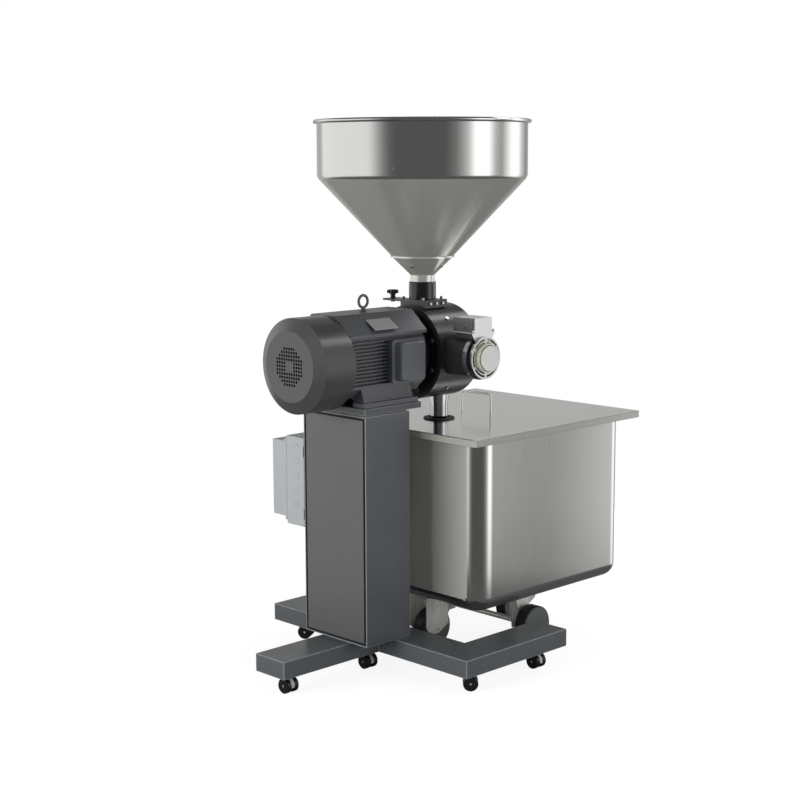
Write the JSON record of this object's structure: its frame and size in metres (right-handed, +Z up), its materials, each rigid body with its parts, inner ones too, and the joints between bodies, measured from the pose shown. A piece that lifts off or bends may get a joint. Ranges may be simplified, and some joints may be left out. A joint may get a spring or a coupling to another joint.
{
  "type": "industrial coffee grinder",
  "caption": "Motor-driven burr coffee grinder on a column stand, with a conical bean hopper, a slide gate, a grind adjuster and a lidded collecting trolley under its spout.",
  "frame": {"origin": "floor point under the hopper's axis, in the middle of the object's length and width", "axes": "+X from the motor's fan towards the trolley, +Y towards the control box, +Z up"},
  "size_m": [1.398, 0.946, 1.834],
  "materials": {
    "frame_paint": "satin",
    "column_paint": "satin",
    "panel_paint": "satin",
    "black_paint": "satin",
    "motor_paint": "satin",
    "cowl_paint": "satin",
    "cast_grey": "matte",
    "shaft_steel": "machined",
    "burr_steel": "ground",
    "stainless": "brushed",
    "hopper_steel": "brushed",
    "bright_steel": "polished",
    "black_steel": "satin",
    "wheel_bright": "polished",
    "fan_plastic": "matte",
    "box_plastic": "matte",
    "green_plastic": "gloss",
    "red_plastic": "gloss",
    "black_plastic": "gloss",
    "rubber": "matte",
    "tyre_rubber": "matte",
    "castor_plastic": "satin",
    "castor_tread": "satin"
  },
  "bodies": {
    "machine": {"base_frame": "frame_paint", "column_shell": "column_paint", "column_panel": "panel_paint", "bed_plate": "black_paint", "motor_housing": "motor_paint", "drive_flange": "motor_paint", "fan_cowl": "cowl_paint", "terminal_box": "motor_paint", "lifting_eye": "motor_paint", "chamber": "cast_grey", "chamber_cover": "cast_grey", "adjuster_housing": "cast_grey", "adjuster_box": "bright_steel", "gate_frame": "black_steel", "feed_pipe": "black_paint", "hopper_collar": "hopper_steel", "hopper": "hopper_steel", "spout": "bright_steel", "box_base": "box_plastic", "box_cover": "box_plastic", "bright_fixings": "bright_steel", "black_fixings": "black_steel"},
    "rotor_group": {"fan": "fan_plastic", "motor_shaft": "shaft_steel", "rotating_burr": "burr_steel", "rotor": "shaft_steel"},
    "adjuster": {"adjuster_spindle": "shaft_steel", "handwheel": "wheel_bright"},
    "carrier": {"burr_carrier": "shaft_steel", "fixed_burr": "burr_steel"},
    "gate": {"gate_slide": "stainless", "gate_knob": "black_plastic"},
    "start": {"start_button": "green_plastic"},
    "stop": {"stop_button": "red_plastic"},
    "trolley": {"tub": "stainless", "push_bar": "bright_steel", "axle_rod": "bright_steel", "fixed_forks": "bright_steel"},
    "lid_group": {"lid": "stainless", "lid_skirt": "stainless", "lid_grip": "bright_steel", "spout_ring": "rubber"},
    "right_wheel": {"right_roller": "tyre_rubber"},
    "left_wheel": {"left_roller": "tyre_rubber"},
    "front_swivel": {"front_fork": "bright_steel"},
    "rear_swivel": {"rear_fork": "bright_steel"},
    "front_wheel": {"front_roller": "tyre_rubber"},
    "rear_wheel": {"rear_roller": "tyre_rubber"},
    "stem_castor_body": {"stem_castor_fork": "castor_plastic"},
    "stem_castor_rolls": {"stem_castor_wheels": "castor_tread"},
    "middle_castor_body": {"middle_castor_fork": "castor_plastic"},
    "middle_castor_rolls": {"middle_castor_wheels": "castor_tread"},
    "right_corner_castor_body": {"right_corner_castor_fork": "castor_plastic"},
    "right_corner_castor_rolls": {"right_corner_castor_wheels": "castor_tread"},
    "left_corner_castor_body": {"left_corner_castor_fork": "castor_plastic"},
    "left_corner_castor_rolls": {"left_corner_castor_wheels": "castor_tread"},
    "right_leg_castor_body": {"right_leg_castor_fork": "castor_plastic"},
    "right_leg_castor_rolls": {"right_leg_castor_wheels": "castor_tread"},
    "left_leg_castor_body": {"left_leg_castor_fork": "castor_plastic"},
    "left_leg_castor_rolls": {"left_leg_castor_wheels": "castor_tread"}
  },
  "joints": [
    {"name": "rotor_spin", "type": "hinge", "parent": "machine", "child": "rotor_group", "pos_m": [0, 0, 1.055], "axis": [1, 0, 0], "continuous": true},
    {"name": "adjuster_turn", "type": "hinge", "parent": "machine", "child": "adjuster", "pos_m": [0, 0, 1.055], "axis": [0, 1, 0], "range_deg": [-45, 45]},
    {"name": "carrier_shift", "type": "slide", "parent": "machine", "child": "carrier", "axis": [1, 0, 0], "range_m": [-0.002, 0.002]},
    {"name": "gate_pull", "type": "slide", "parent": "machine", "child": "gate", "axis": [0, 1, 0], "range_m": [0, 0.088]},
    {"name": "start_press", "type": "slide", "parent": "machine", "child": "start", "axis": [0, -1, 0], "range_m": [0, 0.004], "stiffness_N_per_m": 400, "springref_m": -0.002},
    {"name": "stop_press", "type": "slide", "parent": "machine", "child": "stop", "axis": [0, -1, 0], "range_m": [0, 0.004], "stiffness_N_per_m": 400, "springref_m": -0.002},
    {"name": "trolley_roll", "type": "slide", "parent": "machine", "child": "trolley", "axis": [1, 0, 0], "range_m": [0, 0.75]},
    {"name": "lid_lift", "type": "slide", "parent": "trolley", "child": "lid_group", "axis": [0, 0, 1], "range_m": [0, 0.005]},
    {"name": "right_wheel_roll", "type": "hinge", "parent": "trolley", "child": "right_wheel", "pos_m": [0.312, -0.235, 0.07], "axis": [0, 1, 0], "continuous": true},
    {"name": "left_wheel_roll", "type": "hinge", "parent": "trolley", "child": "left_wheel", "pos_m": [0.312, 0.235, 0.07], "axis": [0, 1, 0], "continuous": true},
    {"name": "front_fork_swivel", "type": "hinge", "parent": "trolley", "child": "front_swivel", "pos_m": [0.008, 0, 0.15], "axis": [0, 0, 1], "continuous": true},
    {"name": "rear_fork_swivel", "type": "hinge", "parent": "trolley", "child": "rear_swivel", "pos_m": [0.512, 0, 0.15], "axis": [0, 0, 1], "continuous": true},
    {"name": "front_wheel_roll", "type": "hinge", "parent": "front_swivel", "child": "front_wheel", "pos_m": [0.046, 0, 0.07], "axis": [0, 1, 0], "continuous": true},
    {"name": "rear_wheel_roll", "type": "hinge", "parent": "rear_swivel", "child": "rear_wheel", "pos_m": [0.474, 0, 0.07], "axis": [0, 1, 0], "continuous": true},
    {"name": "stem_castor_swivel", "type": "hinge", "parent": "machine", "child": "stem_castor_body", "pos_m": [-0.635, 0, 0.06], "axis": [0, 0, 1], "continuous": true},
    {"name": "stem_castor_roll", "type": "hinge", "parent": "stem_castor_body", "child": "stem_castor_rolls", "pos_m": [-0.635, -0.016, 0.025], "axis": [1, 0, 0], "continuous": true},
    {"name": "middle_castor_swivel", "type": "hinge", "parent": "machine", "child": "middle_castor_body", "pos_m": [-0.282, 0, 0.06], "axis": [0, 0, 1], "continuous": true},
    {"name": "middle_castor_roll", "type": "hinge", "parent": "middle_castor_body", "child": "middle_castor_rolls", "pos_m": [-0.282, -0.016, 0.025], "axis": [1, 0, 0], "continuous": true},
    {"name": "right_corner_castor_swivel", "type": "hinge", "parent": "machine", "child": "right_corner_castor_body", "pos_m": [-0.212, -0.403, 0.06], "axis": [0, 0, 1], "continuous": true},
    {"name": "right_corner_castor_roll", "type": "hinge", "parent": "right_corner_castor_body", "child": "right_corner_castor_rolls", "pos_m": [-0.20069, -0.41431, 0.025], "axis": [0.7071, 0.7071, 0], "continuous": true},
    {"name": "left_corner_castor_swivel", "type": "hinge", "parent": "machine", "child": "left_corner_castor_body", "pos_m": [-0.212, 0.403, 0.06], "axis": [0, 0, 1], "continuous": true},
    {"name": "left_corner_castor_roll", "type": "hinge", "parent": "left_corner_castor_body", "child": "left_corner_castor_rolls", "pos_m": [-0.204, 0.38914, 0.025], "axis": [0.866, 0.5, 0], "continuous": true},
    {"name": "right_leg_castor_swivel", "type": "hinge", "parent": "machine", "child": "right_leg_castor_body", "pos_m": [0.12, -0.403, 0.06], "axis": [0, 0, 1], "continuous": true},
    {"name": "right_leg_castor_roll", "type": "hinge", "parent": "right_leg_castor_body", "child": "right_leg_castor_rolls", "pos_m": [0.12, -0.419, 0.025], "axis": [1, 0, 0], "continuous": true},
    {"name": "left_leg_castor_swivel", "type": "hinge", "parent": "machine", "child": "left_leg_castor_body", "pos_m": [0.12, 0.403, 0.06], "axis": [0, 0, 1], "continuous": true},
    {"name": "left_leg_castor_roll", "type": "hinge", "parent": "left_leg_castor_body", "child": "left_leg_castor_rolls", "pos_m": [0.12, 0.387, 0.025], "axis": [1, 0, 0], "continuous": true}
  ],
  "couplings": [
    {"joint": "carrier_shift", "follows": "adjuster_turn", "m_per_rad": 0.0025}
  ]
}
